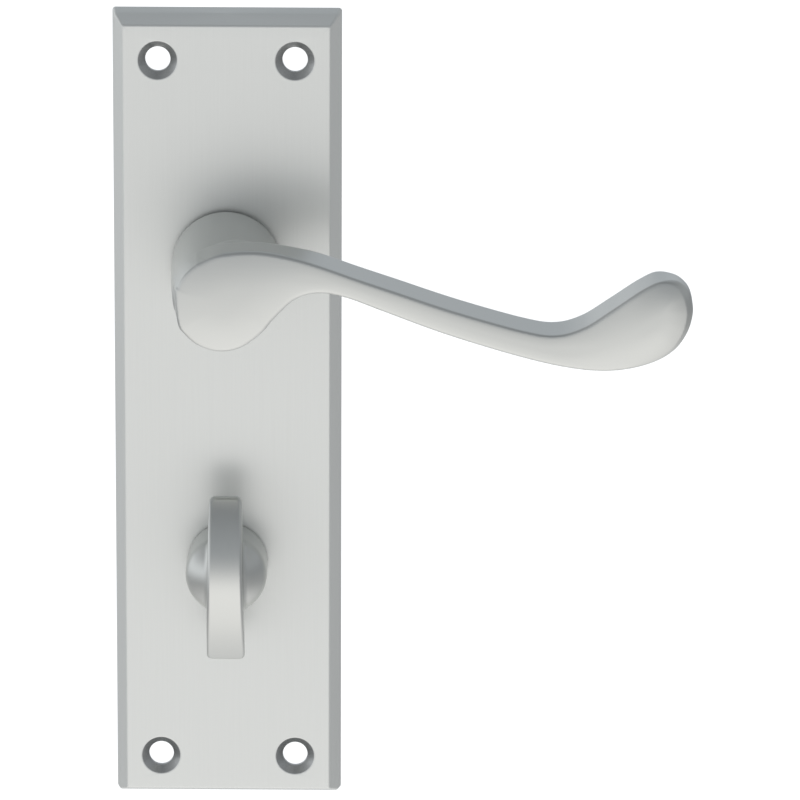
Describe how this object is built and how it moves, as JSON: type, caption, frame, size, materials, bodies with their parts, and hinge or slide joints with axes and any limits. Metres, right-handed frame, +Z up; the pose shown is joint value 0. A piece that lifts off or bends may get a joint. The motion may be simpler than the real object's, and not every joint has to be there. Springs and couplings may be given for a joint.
{
  "type": "door lever handle",
  "caption": "Scroll lever on a tall bevelled backplate with a thumb turn below it, square drive spindles behind, and a sprung cassette hidden in the hollow plate.",
  "frame": {"origin": "centre of the backplate on the door face, which is the centre of its four screw holes", "axes": "+X along the lever away from its pivot, +Y into the door, +Z up; the front of the handle faces -Y"},
  "size_m": [0.1062, 0.0998, 0.15],
  "materials": {
    "plate_satin": "satin chrome, brushed upright",
    "lever_satin": "satin chrome, brushed along the arm",
    "turn_satin": "satin chrome",
    "black_nylon": "moulded black nylon",
    "white_nylon": "natural nylon",
    "zinc_plate": "bright zinc plated pressing",
    "pin_steel": "turned steel",
    "spring_steel": "oiled spring steel",
    "bar_steel": "drawn bright steel bar",
    "black_steel": "black oxide"
  },
  "bodies": {
    "plate": {"backplate": "plate_satin", "lever_bush": "black_nylon", "turn_bush": "black_nylon", "cassette_cup": "zinc_plate", "cassette_lid": "zinc_plate", "cassette_screws": "zinc_plate", "stop_pins": "pin_steel", "spring_post": "pin_steel", "return_spring": "spring_steel", "thrust_washer": "white_nylon", "turn_thrust_washer": "white_nylon", "turn_wave_washer": "spring_steel"},
    "lever": {"lever": "lever_satin", "lever_spindle": "bar_steel", "lever_grub_screw": "black_steel", "drive_cam": "zinc_plate", "lever_circlip": "spring_steel"},
    "turn": {"thumb_turn": "turn_satin", "turn_spindle": "bar_steel", "turn_grub_screw": "black_steel", "turn_clip_washer": "zinc_plate", "turn_circlip": "spring_steel"}
  },
  "joints": [
    {"name": "lever_turn", "type": "hinge", "parent": "plate", "child": "lever", "pos_m": [0, -0.007, 0.0285], "axis": [0, 1, 0], "range_deg": [0, 45], "stiffness_Nm_per_rad": 0.8, "springref_deg": -51.57, "deforming": ["return_spring"]},
    {"name": "thumb_turn_turn", "type": "hinge", "parent": "plate", "child": "turn", "pos_m": [0, -0.007, -0.0285], "axis": [0, 1, 0], "range_deg": [0, 90]}
  ]
}
